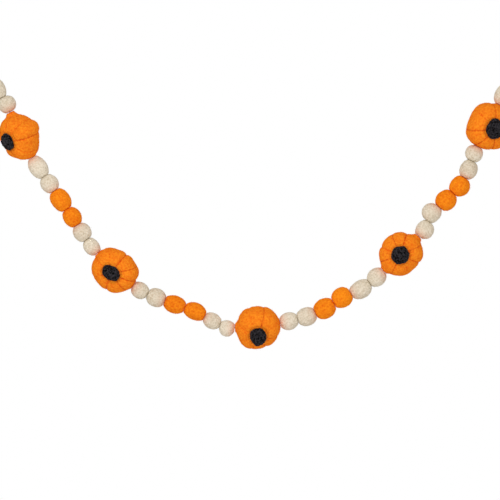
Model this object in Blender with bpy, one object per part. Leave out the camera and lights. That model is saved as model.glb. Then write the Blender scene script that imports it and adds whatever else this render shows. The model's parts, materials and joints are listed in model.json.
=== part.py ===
"""A garland of felt balls and felt pumpkins on cotton twine, hung in one swag by a loop at each end.

Metres, +Z up. The string hangs in the XZ plane and runs from the left loop towards +X. The pumpkins'
stems look towards -Y. The origin is the point where the left loop bears on its hook.
"""

from collections import namedtuple
from math import asin, atan2, cos, exp, pi, radians, sin, tau

import bmesh
import bpy
from mathutils import Matrix, Vector, noise

MM = 0.001
GAP = 0.3 * MM  # between solids that touch

# Twine, its hanging loops and the knots that stop the outermost balls.
TWINE_RADIUS = 0.75 * MM
LOOP_LENGTH = 36 * MM  # middle of the knot to the far end of the loop
LOOP_WIDTH_FACTOR = 8 * MM  # sideways reach of the loop's curve, about two thirds of its width
LOOP_POINTS = 20
LOOP_START = 0.018  # share of the loop's curve left off at each end, inside the knot
KNOT_LENGTH = 6.4 * MM
KNOT_RADIUS = 2.7 * MM
KNOT_STEPS = 8
KNOT_SIDES = 12
KNOT_RIDGES = 3
KNOT_RIDGE_DEPTH = 0.12
KNOT_TWIST = 4 * pi  # of the ridges, from one end of the knot to the other
LEFT_LOOP_HEADING = radians(-60)  # of the string as it leaves the left hook

# Hole that the needle leaves through each felt piece.
BORE_RADIUS = 1.25 * MM
BORE_SIDES = 12

# Unevenness of all the felt, as a share of a point's distance from the middle.
LUMP_DEPTH = 0.035
LUMP_STEP = 7.3  # from one piece's place in the noise to the next one's
ORANGE_LUMPS = 50  # places that the orange balls start after the cream ones

# Felt balls, with a squareness that flattens their ends against their neighbours.
BALL_SQUARENESS = 2.35
BALL_SIDES = 14
BALL_STEPS = 7
BALL_LUMP_SIZE = 11 * MM

# Felt pumpkins: flattened balls stitched into ribs, drawn out to a blunt point where the string pulls.
PUMPKIN_RADIUS = 24.3 * MM
PUMPKIN_HALF_HEIGHT = 20 * MM
PUMPKIN_SQUARENESS = 2.3
PUMPKIN_RIBS = 8
SIDES_PER_RIB = 4
PUMPKIN_STEPS = 11
GROOVE_SHARPNESS = 1.5
DIMPLE_DEPTH = 3 * MM
DIMPLE_RADIUS = 9 * MM
SEAT_HEIGHT = 17.3 * MM  # flat under the stem
SEAT_RADIUS = 11 * MM
SEAT_FADE = 4 * MM  # over which the grooves fade in beside the seat
DRAWN_OUT = 2.2 * MM  # least that the points stand out of the ribbed body
DRAWN_TIP_RADIUS = 5 * MM
DRAWN_BASE_RADIUS = 12 * MM
DRAWN_BASE_AT = 0.6  # share of the pumpkin's radius
DRAWN_SIDES = 16

# Black felt stems: tapered nubs with a rounded tip.
STEM_SIDES = 14
STEM_OUTLINE = ((0, 0.92), (0.1, 1), (0.4, 0.9), (0.7, 0.68), (0.93, 0.36))  # shares of height, radius

# The pieces in order from the left loop. length is along the string, heading is that of the string
# from this piece's middle to the next one's, in degrees above level, and width is that of a ball.
Piece = namedtuple("Piece", "kind length_mm heading_deg width_mm", defaults=(None,))
PIECES = (
    Piece("cream", 24.5, -56, 19.5),
    Piece("cream", 17.5, -71, 20.5),
    Piece("pumpkin", 56.0, -57),
    Piece("cream", 24.5, -56, 20.5),
    Piece("cream", 19.5, -55, 20.0),
    Piece("orange", 24.5, -56, 22.0),
    Piece("orange", 21.0, -57, 20.5),
    Piece("cream", 19.0, -57, 20.5),
    Piece("cream", 19.0, -44, 17.5),
    Piece("pumpkin", 53.0, -40),
    Piece("cream", 18.5, -24, 18.5),
    Piece("cream", 20.0, -20, 21.0),
    Piece("orange", 23.5, -19, 20.0),
    Piece("orange", 24.0, -29, 19.5),
    Piece("cream", 19.0, -27, 18.0),
    Piece("cream", 16.0, 2, 18.5),
    Piece("pumpkin", 50.5, 11),
    Piece("cream", 19.5, 14, 20.0),
    Piece("cream", 20.5, 24, 21.0),
    Piece("orange", 23.0, 33, 23.0),
    Piece("orange", 21.5, 23, 23.0),
    Piece("cream", 23.5, 38, 20.5),
    Piece("cream", 20.0, 43, 20.5),
    Piece("pumpkin", 55.0, 46),
    Piece("cream", 19.0, 69, 20.5),
    Piece("cream", 19.5, 40, 22.0),
    Piece("orange", 21.5, 46, 23.0),
    Piece("orange", 21.0, 62, 22.5),
    Piece("cream", 20.0, 71, 20.0),
    Piece("cream", 17.0, 61, 20.0),
    Piece("pumpkin", 52.0, 65),
    Piece("cream", 23.5, 67, 20.0),
    Piece("cream", 18.5, 66, 19.5),
)

# How each pumpkin sits on the string: roll turns its stem downwards about the string, and yaw turns it
# towards the string's right end. The stitches are the angles of the hand-sewn grooves about the stem, one
# between each rib and the next, with how deep the thread draws each of them in. The fullness is how far
# each rib stands out, or lies flatter where it is negative.
Seat = namedtuple("Seat", "roll_deg yaw_deg stitches_deg drawn_in_mm fullness_mm")
PUMPKIN_SEATS = (
    Seat(
        44,
        3,
        (30, 75, 120, 165, 210, 255, 300, 345),
        (0.5, 1, 1.5, 0.5, 0.5, 0.5, 1.5, 0.5),
        (0, 3.5, 0, 0, -1, -4, 0, 3.5),
    ),
    Seat(
        17,
        -2,
        (15, 50, 95, 140, 185, 240, 290, 345),
        (1.5, 0, 2, 0, 1, 0, 1.5, 0),
        (3, -1.5, -2, 1.5, 2.5, 0.5, 1.5, 3),
    ),
    Seat(
        30,
        -2,
        (20, 65, 110, 155, 200, 245, 290, 335),
        (0, 1, 1, 1, 0.5, 0.5, 1.5, 1),
        (1.5, 0, 1, 1.5, 2.5, 0.5, 1, 2.5),
    ),
    Seat(
        -1,
        -6,
        (30, 70, 115, 155, 200, 250, 290, 340),
        (1.5, 0.5, 1.5, 0, 0, 0, 1.5, 0),
        (0.5, 0, 1, 2, 0, -2.5, 0, 1),
    ),
    Seat(
        19,
        -2,
        (20, 70, 125, 165, 210, 260, 300, 340),
        (0.5, 0, 0, 0, 1, 0.5, 0.5, 0.5),
        (2.5, -0.5, 3.5, 2.5, 3, 1, 1, 1.5),
    ),
)

# Each pumpkin's stem: its radius along the string and across it before it is turned about its own
# height, and how far its tip bends along the string.
Stem = namedtuple("Stem", "along_mm across_mm height_mm turn_deg lean_mm")
PUMPKIN_STEMS = (
    Stem(10, 8, 8, 0, 0),
    Stem(11, 8, 11, 15, 0),
    Stem(9.5, 10, 15.5, 0, 0),
    Stem(10, 10, 11, 0, -1.5),
    Stem(11.5, 10, 12, 20, 0),
)

# Finishes: sRGB colour and roughness.
FINISHES = {
    "felt_cream": ((222, 203, 178), 0.95),
    "felt_orange": ((245, 131, 24), 0.95),
    "felt_pumpkin": ((243, 127, 24), 0.95),
    "felt_black": ((38, 34, 34), 0.95),
    "cotton_twine": ((226, 214, 192), 0.85),
}


def material(name):
    """The named finish as a Principled material, made once."""
    if name in bpy.data.materials:
        return bpy.data.materials[name]
    colour, roughness = FINISHES[name]
    made = bpy.data.materials.new(name)
    made.use_nodes = True
    shader = made.node_tree.nodes["Principled BSDF"]
    shader.inputs["Base Color"].default_value = [(c / 255) ** 2.2 for c in colour] + [1]
    shader.inputs["Roughness"].default_value = roughness
    shader.inputs["Metallic"].default_value = 0
    return made


def direction(heading):
    """Unit vector in the plane of the garland at a heading above level."""
    return Vector((cos(heading), 0, sin(heading)))


def smooth_step(x):
    """0 below 0, 1 above 1, and a smooth rise between."""
    x = min(max(x, 0), 1)
    return x * x * (3 - 2 * x)


def signed_power(x, power):
    """x to a power, keeping its sign."""
    return abs(x) ** power * (1 if x > 0 else -1)


def turned(outline, axis, sides, closed=False):
    """A bmesh turned about X or Z from (along the axis, radius) points: a ring of them if closed."""
    mesh = bmesh.new()
    place = {"X": lambda a, r: (a, 0, r), "Z": lambda a, r: (r, 0, a)}[axis]
    verts = [mesh.verts.new(place(along, radius)) for along, radius in outline]
    edges = [mesh.edges.new(pair) for pair in zip(verts, verts[1:])]
    if closed:
        edges.append(mesh.edges.new((verts[-1], verts[0])))
    bmesh.ops.spin(
        mesh,
        geom=verts + edges,
        cent=(0, 0, 0),
        axis=(1, 0, 0) if axis == "X" else (0, 0, 1),
        angle=tau,
        steps=sides,
        use_merge=True,
    )
    bmesh.ops.remove_doubles(mesh, verts=mesh.verts, dist=0.001 * MM)
    bmesh.ops.recalc_face_normals(mesh, faces=mesh.faces)
    return mesh


def add_object(name, mesh, finish):
    """Turn a bmesh into a named, smooth-shaded object in its finish."""
    data = bpy.data.meshes.new(name)
    mesh.to_mesh(data)
    mesh.free()
    data.shade_smooth()
    data.materials.append(material(finish))
    made = bpy.data.objects.new(name, data)
    bpy.context.scene.collection.objects.link(made)
    return made


def add_boolean(target, other, operation):
    """Join or cut the target with a hidden helper that moves with it."""
    other.parent = target
    other.hide_render = True
    other.display_type = "WIRE"
    modifier = target.modifiers.new(other.name, "BOOLEAN")
    modifier.operation = operation
    modifier.solver = "EXACT"
    modifier.object = other


def ball_mesh(length, width, bore_offset, seed):
    """A felt ball with the string along X through a bore that misses its middle by bore_offset."""
    half, radius = length / 2, width / 2
    power = 2 / BALL_SQUARENESS
    start = asin((BORE_RADIUS / radius) ** (1 / power))
    turns = [start + (pi - 2 * start) * i / BALL_STEPS for i in range(BALL_STEPS + 1)]
    outline = [(half * signed_power(cos(t), power), radius * sin(t) ** power) for t in turns]
    mesh = turned(outline, "X", BALL_SIDES, closed=True)
    for vert in mesh.verts:
        out = smooth_step((vert.co.yz.length - BORE_RADIUS) / (radius - BORE_RADIUS))
        where = vert.co / BALL_LUMP_SIZE + Vector((seed * LUMP_STEP, 0, 0))
        vert.co *= 1 + LUMP_DEPTH * out * noise.noise(where)
        vert.co.z += bore_offset * (1 - out)
    return mesh


def pumpkin_outline():
    """(height, radius) points from the middle of the stem's seat to the middle of the base."""
    power = 2 / PUMPKIN_SQUARENESS
    start = asin((1.1 * SEAT_RADIUS / PUMPKIN_RADIUS) ** (1 / power))
    points = [(SEAT_HEIGHT, 0), (SEAT_HEIGHT, SEAT_RADIUS)]
    for i in range(PUMPKIN_STEPS + 1):
        t = start + (pi - start) * i / PUMPKIN_STEPS
        radius = PUMPKIN_RADIUS * max(sin(t), 0) ** power
        dimple = DIMPLE_DEPTH * exp(-((radius / DIMPLE_RADIUS) ** 2))
        height = PUMPKIN_HALF_HEIGHT * signed_power(cos(t), power)
        points.append((height - dimple * (1 if height > 0 else -1), radius))
    points[-1] = (points[-1][0], 0)
    return points


def stitched_angle(turn, stitches):
    """Where an even turn about the stem ends up once each rib is gathered between its stitches."""
    rib, share = divmod(turn / tau * len(stitches) % len(stitches), 1)
    low = stitches[int(rib)]
    width = (stitches[(int(rib) + 1) % len(stitches)] - low) % 360
    return radians(low + share * width)


def rib_fullness(turn, fullness_mm):
    """How far the felt stands out at an even turn, eased from each rib's middle to the next one's."""
    ribs = len(fullness_mm)
    rib, share = divmod((turn / tau * ribs - 0.5) % ribs, 1)
    low, high = fullness_mm[int(rib)], fullness_mm[(int(rib) + 1) % ribs]
    return (low + (high - low) * smooth_step(share)) * MM


def groove_depth(turn, drawn_in_mm):
    """How deep the felt is drawn in at an even turn, by the nearest of the stitches."""
    at = turn / tau * len(drawn_in_mm)
    beside = 1 - abs(sin(pi * at))
    return drawn_in_mm[round(at) % len(drawn_in_mm)] * MM * beside**GROOVE_SHARPNESS


def seat_facing(seat):
    """From a pumpkin's upright frame, stem up, to its frame on the string."""
    roll = Matrix.Rotation(radians(90 + seat.roll_deg), 4, "X")
    return Matrix.Rotation(radians(seat.yaw_deg), 4, "Z") @ roll


def pumpkin_mesh(seat, length, seed):
    """The ribbed body, its stem's seat facing -Y and rolled, squeezed a little along the string."""
    mesh = turned(pumpkin_outline(), "Z", PUMPKIN_RIBS * SIDES_PER_RIB)
    for vert in mesh.verts:
        turn = atan2(vert.co.y, vert.co.x)
        beside = vert.co.xy.length - SEAT_RADIUS if vert.co.z > 0 else SEAT_FADE
        fade = smooth_step(beside / SEAT_FADE)
        where = vert.co / PUMPKIN_RADIUS + Vector((seed * LUMP_STEP, 0, 0))
        lump = LUMP_DEPTH * noise.noise(where)
        full = rib_fullness(turn, seat.fullness_mm) / PUMPKIN_RADIUS
        full *= smooth_step(vert.co.xy.length / PUMPKIN_RADIUS)
        groove = groove_depth(turn, seat.drawn_in_mm) / PUMPKIN_RADIUS
        vert.co *= 1 - fade * (groove - lump - full)
        gathered = stitched_angle(turn, seat.stitches_deg) - turn
        vert.co.rotate(Matrix.Rotation(gathered, 3, "Z"))
    mesh.transform(seat_facing(seat))
    squeeze = min((length / 2 - DRAWN_OUT) / PUMPKIN_RADIUS, 1)
    mesh.transform(Matrix.Scale(squeeze, 4, (1, 0, 0)))
    return mesh


def drawn_mesh(length, bore_offset):
    """The blunt points at both ends of a pumpkin, as one spindle along the string."""
    base = DRAWN_BASE_AT * PUMPKIN_RADIUS
    outline = [
        (length / 2, 0),
        (length / 2, DRAWN_TIP_RADIUS),
        (base, DRAWN_BASE_RADIUS),
        (-base, DRAWN_BASE_RADIUS),
        (-length / 2, DRAWN_TIP_RADIUS),
        (-length / 2, 0),
    ]
    mesh = turned(outline, "X", DRAWN_SIDES)
    mesh.transform(Matrix.Translation((0, 0, bore_offset)))
    return mesh


def bore_mesh(length, bore_offset):
    """A cutter for the string's hole, longer than the piece."""
    mesh = bmesh.new()
    bmesh.ops.create_cone(
        mesh,
        cap_ends=True,
        segments=BORE_SIDES,
        radius1=BORE_RADIUS,
        radius2=BORE_RADIUS,
        depth=1.5 * length,
        matrix=Matrix.Translation((0, 0, bore_offset)) @ Matrix.Rotation(pi / 2, 4, "Y"),
    )
    return mesh


def stem_mesh(stem):
    """A tapered oval nub on the flat of its base, its tip bent along X."""
    mesh = turned([(0, 0), *STEM_OUTLINE, (1, 0)], "Z", STEM_SIDES)
    mesh.transform(Matrix.Diagonal((stem.along_mm * MM, stem.across_mm * MM, 1, 1)))
    mesh.transform(Matrix.Rotation(radians(stem.turn_deg), 4, "Z"))
    for vert in mesh.verts:
        vert.co.x += stem.lean_mm * MM * vert.co.z**2
        vert.co.z *= stem.height_mm * MM
    return mesh


def reach(mesh, along):
    """How far a bmesh reaches from its middle along a direction."""
    return max(vert.co.dot(along) for vert in mesh.verts)


def add_pumpkin(number, length, bore_offset):
    """A pumpkin with its drawn points and bore, its stem, and its furthest points as a bmesh."""
    seat = PUMPKIN_SEATS[number - 1]
    drawn = drawn_mesh(length, bore_offset)
    shape = drawn.copy()
    body = add_object(f"pumpkin_{number}", pumpkin_mesh(seat, length, number), "felt_pumpkin")
    points = add_object(f"pumpkin_{number}_points", drawn, "felt_pumpkin")
    bore = add_object(f"pumpkin_{number}_bore", bore_mesh(length, bore_offset), "felt_pumpkin")
    add_boolean(body, points, "UNION")
    add_boolean(body, bore, "DIFFERENCE")
    stem = add_object(f"stem_{number}", stem_mesh(PUMPKIN_STEMS[number - 1]), "felt_black")
    stem.parent = body
    stem.matrix_local = seat_facing(seat) @ Matrix.Translation((0, 0, SEAT_HEIGHT + GAP))
    return body, shape


def add_ball(kind, number, length, width, bore_offset):
    """A felt ball, and its shape as a bmesh."""
    seed = number + ORANGE_LUMPS if kind == "orange" else number
    mesh = ball_mesh(length, width, bore_offset, seed)
    shape = mesh.copy()
    return add_object(f"{kind}_ball_{number:02d}", mesh, f"felt_{kind}"), shape


def add_strung_pieces(start):
    """Thread every piece from a point on the string onwards, each against the one before.

    Returns the string's points: its start, where it passes from piece to piece, and its end.
    """
    counts = {"cream": 0, "orange": 0, "pumpkin": 0}
    before, face, points = LEFT_LOOP_HEADING, start, [start]
    for piece in PIECES:
        counts[piece.kind] += 1
        after, length = radians(piece.heading_deg), piece.length_mm * MM
        heading, bend = (before + after) / 2, after - before
        bore_offset = length / 2 * sin(bend / 2)
        if piece.kind == "pumpkin":
            made, shape = add_pumpkin(counts["pumpkin"], length, bore_offset)
        else:
            width = piece.width_mm * MM
            made, shape = add_ball(piece.kind, counts[piece.kind], length, width, bore_offset)
        middle = face + direction(before) * (GAP + reach(shape, -direction(-bend / 2)))
        made.location = middle
        made.rotation_euler = (0, -heading, 0)
        face = middle + direction(after) * reach(shape, direction(bend / 2))
        points.append(face + direction(after) * GAP / 2)
        shape.free()
        before = after
    points[-1] = face
    return points


def tube(name, points, finish):
    """A round length of twine through points, with closed ends."""
    curve = bpy.data.curves.new(name, "CURVE")
    curve.dimensions = "3D"
    curve.bevel_depth = TWINE_RADIUS
    curve.bevel_resolution = 2
    curve.use_fill_caps = True
    spline = curve.splines.new("POLY")
    spline.points.add(len(points) - 1)
    for point, place in zip(spline.points, points):
        point.co = (*place, 1)
    curve.materials.append(material(finish))
    made = bpy.data.objects.new(name, curve)
    bpy.context.scene.collection.objects.link(made)
    return made


def as_mesh(curve_object):
    """The same object with its curve made a mesh, in place of the curve."""
    name = curve_object.name
    graph = bpy.context.evaluated_depsgraph_get()
    data = bpy.data.meshes.new_from_object(curve_object.evaluated_get(graph))
    bpy.data.objects.remove(curve_object)
    made = bpy.data.objects.new(name, data)
    bpy.context.scene.collection.objects.link(made)
    return made


def add_hanging_loop(name, knot, heading):
    """A knot with a drop-shaped loop that runs from it at a heading, as one solid."""
    points = []
    for i in range(LOOP_POINTS):
        turn = tau * (LOOP_START + (1 - 2 * LOOP_START) * i / (LOOP_POINTS - 1))
        along = LOOP_LENGTH * (1 - cos(turn)) / 2
        points.append((along, 0, LOOP_WIDTH_FACTOR * sin(turn) * sin(turn / 2)))
    loop = as_mesh(tube(f"{name}_twine", points, "cotton_twine"))
    turns = [pi * i / KNOT_STEPS for i in range(KNOT_STEPS + 1)]
    outline = [(-KNOT_LENGTH / 2 * cos(t), KNOT_RADIUS * sin(t)) for t in turns]
    mesh = turned(outline, "X", KNOT_SIDES)
    for vert in mesh.verts:
        around = atan2(vert.co.z, vert.co.y)
        wave = sin(KNOT_RIDGES * around + KNOT_TWIST * vert.co.x / KNOT_LENGTH)
        vert.co.yz *= 1 + KNOT_RIDGE_DEPTH * wave
    made = add_object(name, mesh, "cotton_twine")
    add_boolean(made, loop, "UNION")
    made.location = knot
    made.rotation_euler = (0, -heading, 0)


def main():
    """Clear the scene and build the garland from its left hook to its right one."""
    for old in list(bpy.data.objects):
        bpy.data.objects.remove(old)
    left = direction(LEFT_LOOP_HEADING)
    left_knot = left * (LOOP_LENGTH - TWINE_RADIUS)
    add_hanging_loop("loop_left", left_knot, LEFT_LOOP_HEADING + pi)
    string = add_strung_pieces(left_knot + left * (KNOT_LENGTH / 2 + GAP))
    right_heading = radians(PIECES[-1].heading_deg)
    right_knot = string[-1] + direction(right_heading) * (GAP + KNOT_LENGTH / 2)
    add_hanging_loop("loop_right", right_knot, right_heading)
    tube("string", string, "cotton_twine")


main()
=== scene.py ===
"""The looks of a felt ball and pumpkin garland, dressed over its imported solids.

Metres, +Z up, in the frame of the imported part. The string hangs in the XZ plane from the left loop towards
+X, and the pumpkins' stems look towards -Y. Each felt piece takes its place from the solid that it stands
for and is made again at felt's own fineness: soft lumps, nubs, sewn grooves and loose fibres.
"""

import json
import logging
from collections.abc import Callable, Iterable, Sequence
from dataclasses import dataclass, field
from enum import Enum
from math import asin, atan2, ceil, cos, exp, hypot, log, pi, radians, sin, tau

import bmesh
import bpy
import numpy as np
from mathutils import Matrix, Vector, noise


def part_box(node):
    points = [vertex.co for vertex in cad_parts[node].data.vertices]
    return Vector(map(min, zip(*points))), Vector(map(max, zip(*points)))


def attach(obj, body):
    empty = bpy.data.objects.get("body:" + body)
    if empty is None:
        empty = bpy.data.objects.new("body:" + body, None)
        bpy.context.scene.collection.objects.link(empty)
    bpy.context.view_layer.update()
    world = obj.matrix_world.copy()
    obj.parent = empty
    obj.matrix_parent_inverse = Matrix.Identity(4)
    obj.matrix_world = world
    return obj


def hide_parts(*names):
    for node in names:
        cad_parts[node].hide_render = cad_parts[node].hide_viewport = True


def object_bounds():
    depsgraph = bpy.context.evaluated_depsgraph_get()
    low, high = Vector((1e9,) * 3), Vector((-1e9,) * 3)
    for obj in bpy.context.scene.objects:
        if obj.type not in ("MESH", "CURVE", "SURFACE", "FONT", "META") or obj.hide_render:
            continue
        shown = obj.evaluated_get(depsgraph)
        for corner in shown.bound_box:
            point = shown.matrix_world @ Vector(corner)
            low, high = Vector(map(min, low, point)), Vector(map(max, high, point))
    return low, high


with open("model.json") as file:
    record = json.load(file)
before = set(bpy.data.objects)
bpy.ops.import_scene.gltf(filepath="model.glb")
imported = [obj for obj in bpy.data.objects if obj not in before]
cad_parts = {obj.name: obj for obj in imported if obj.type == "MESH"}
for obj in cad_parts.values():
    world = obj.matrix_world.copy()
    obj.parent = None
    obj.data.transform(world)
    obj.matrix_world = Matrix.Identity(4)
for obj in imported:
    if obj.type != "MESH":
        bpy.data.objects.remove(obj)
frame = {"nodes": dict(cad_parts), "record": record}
CAD_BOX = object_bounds()

MM = 0.001
BODY = "root"
UP = Vector((0, 0, 1))
ACROSS = Vector((0, 1, 0))

log_book = logging.getLogger("garland")


# ---------------------------------------------------------------------------------------------------
# Small sums
# ---------------------------------------------------------------------------------------------------


def heading_of(run: Vector) -> float:
    """The heading above level of a run in the plane of the garland."""
    return atan2(run.z, run.x)


def smooth_step(x: float) -> float:
    """0 below 0, 1 above 1, and a smooth rise between."""
    x = min(max(x, 0), 1)
    return x * x * (3 - 2 * x)


def signed_power(x: float, power: float) -> float:
    """x to a power, keeping its sign."""
    return abs(x) ** power * (1 if x > 0 else -1)


def soft_max(a: float, b: float, softness: float) -> float:
    """The larger of two lengths, rounded over where they are within about a softness of each other."""
    return softness * log(exp(a / softness) + exp(b / softness))


def linear(colour: Sequence[int]) -> tuple[float, float, float, float]:
    """An sRGB colour of 0 to 255 as Blender's linear RGBA.

    Args:
        colour: red, green and blue.

    Returns:
        The same colour, opaque, from 0 to 1.
    """
    shares = [c / 255 for c in colour]
    rgb = [c / 12.92 if c <= 0.04045 else ((c + 0.055) / 1.055) ** 2.4 for c in shares]
    return (*rgb, 1.0)


# ---------------------------------------------------------------------------------------------------
# Finishes
# ---------------------------------------------------------------------------------------------------


class NodeSheet:
    """A node tree that is filled call by call, from left to right."""

    STEP = 220  # between one node and the next on the sheet
    MIX_COLOUR_INPUTS = (0, 6, 7)  # the Mix node has sockets of one name for every data type
    MIX_COLOUR_OUTPUT = 2

    def __init__(self, tree: bpy.types.NodeTree) -> None:
        """Take hold of a tree.

        Args:
            tree: the material's, world's or group's node tree.
        """
        self.tree = tree
        self.count = 0

    def add(
        self, kind: str, inputs: dict[str | int, object] | None = None, **settings: object
    ) -> bpy.types.Node:
        """Add a node.

        Args:
            kind: the node's type, without "ShaderNode" unless it is a group's own node.
            inputs: what each named socket holds: a value, or a socket to link from.
            settings: the node's own properties.

        Returns:
            The new node.
        """
        node = self.tree.nodes.new(kind if kind.startswith("NodeGroup") else f"ShaderNode{kind}")
        node.location = (self.STEP * self.count, 0)
        self.count += 1
        for name, value in settings.items():
            setattr(node, name, value)
        for name, value in (inputs or {}).items():
            self.feed(node.inputs[name], value)
        return node

    def feed(self, socket: bpy.types.NodeSocket, value: object) -> None:
        """Give a socket a value, or link it to another socket.

        Args:
            socket: the input.
            value: what it holds, or the output that it reads.
        """
        if isinstance(value, bpy.types.NodeSocket):
            self.tree.links.new(value, socket)
        else:
            socket.default_value = value

    def sum(self, operation: str, a: object, b: object) -> bpy.types.NodeSocket:
        """The result of a Math node on two numbers or sockets.

        Args:
            operation: the Math node's operation.
            a: first number or socket.
            b: second number or socket.

        Returns:
            The result's socket.
        """
        node = self.add("Math", operation=operation)
        self.feed(node.inputs[0], a)
        self.feed(node.inputs[1], b)
        return node.outputs[0]

    def blend(self, share: object, a: object, b: object) -> bpy.types.NodeSocket:
        """The colour that a Mix node gives.

        Args:
            share: how much of the second colour, or a socket for it.
            a: first colour or socket.
            b: second colour or socket.

        Returns:
            The mixed colour's socket.
        """
        node = self.add("Mix", data_type="RGBA")
        for at, value in zip(self.MIX_COLOUR_INPUTS, (share, a, b)):
            self.feed(node.inputs[at], value)
        return node.outputs[self.MIX_COLOUR_OUTPUT]


def new_group(
    name: str, inputs: dict[str, float], outputs: Iterable[str]
) -> tuple[NodeSheet, bpy.types.Node]:
    """Start a shader node group that reads a vector and some numbers and puts out numbers.

    Args:
        name: the group's name.
        inputs: the number inputs with their defaults, after a first input named Vector.
        outputs: the names of the number outputs.

    Returns:
        The group's sheet and its input node.
    """
    tree = bpy.data.node_groups.new(name, "ShaderNodeTree")
    tree.interface.new_socket("Vector", in_out="INPUT", socket_type="NodeSocketVector")
    for socket, value in inputs.items():
        made = tree.interface.new_socket(socket, in_out="INPUT", socket_type="NodeSocketFloat")
        made.default_value = value
    for socket in outputs:
        tree.interface.new_socket(socket, in_out="OUTPUT", socket_type="NodeSocketFloat")
    sheet = NodeSheet(tree)
    return sheet, sheet.add("NodeGroupInput")


def new_material(name: str) -> tuple[bpy.types.Material, NodeSheet, bpy.types.Node]:
    """Start a material.

    Args:
        name: the material's name.

    Returns:
        The material, its sheet and its Principled shader.
    """
    made = bpy.data.materials.new(name)
    made.use_nodes = True
    return made, NodeSheet(made.node_tree), made.node_tree.nodes["Principled BSDF"]


SWAYS = ((1.3, "X"), (2.1, "Z"))  # how many curls each row of fibres sways by, and the axis that it crosses
BANDS_PER_WIDTH = 0.16  # turns a fibre's width into the Wave node's scale
GRAIN_SHARE = 0.4  # of the fibres' height that is fine grain
MIDDLE = 0.5  # of a pattern that runs from 0 to 1


def wool_fibres() -> bpy.types.NodeTree:
    """The shared group for matted wool: curled fibres over soft mottling.

    Returns:
        The group. Its inputs are Vector, Fibre Width, Curl Size and Mottle Size in metres, and its
        outputs are Fibres, which is their height too, and Mottle, from 0 to 1.
    """
    name = "wool_fibres"
    if name in bpy.data.node_groups:
        return bpy.data.node_groups[name]
    sizes = {"Fibre Width": 0.3 * MM, "Curl Size": 2.4 * MM, "Mottle Size": 7 * MM}
    sheet, given = new_group(name, sizes, ("Fibres", "Mottle"))
    place = given.outputs["Vector"]
    fibre_scale, curl_scale, mottle_scale = (sheet.sum("DIVIDE", 1, given.outputs[size]) for size in sizes)
    curl = sheet.add("TexNoise", {"Vector": place, "Scale": curl_scale, "Detail": 2.0})
    away = sheet.add("VectorMath", {0: curl.outputs["Color"], 1: [MIDDLE] * 3}, operation="SUBTRACT")
    rows = []
    for sway, axis in SWAYS:
        push = sheet.add("VectorMath", {0: away.outputs[0]}, operation="SCALE")
        sheet.feed(push.inputs["Scale"], sheet.sum("MULTIPLY", sway, given.outputs["Curl Size"]))
        bent = sheet.add("VectorMath", {0: place, 1: push.outputs[0]}, operation="ADD")
        bands = sheet.sum("MULTIPLY", BANDS_PER_WIDTH, fibre_scale)
        drawn = {"Vector": bent.outputs[0], "Scale": bands, "Distortion": 3.0, "Detail": 3.0}
        rows.append(sheet.add("TexWave", drawn, bands_direction=axis).outputs["Fac"])
    crossed = sheet.sum("MULTIPLY", 1 - GRAIN_SHARE, sheet.sum("MAXIMUM", *rows))
    grain = sheet.add("TexNoise", {"Vector": place, "Scale": fibre_scale, "Detail": 3.0, "Roughness": 0.6})
    fine = sheet.sum("MULTIPLY", GRAIN_SHARE, grain.outputs["Fac"])
    mottle = sheet.add("TexNoise", {"Vector": place, "Scale": mottle_scale, "Detail": 2.0})
    fibres = sheet.sum("ADD", crossed, fine)
    sheet.add("NodeGroupOutput", {"Fibres": fibres, "Mottle": mottle.outputs["Fac"]})
    return sheet.tree


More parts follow.
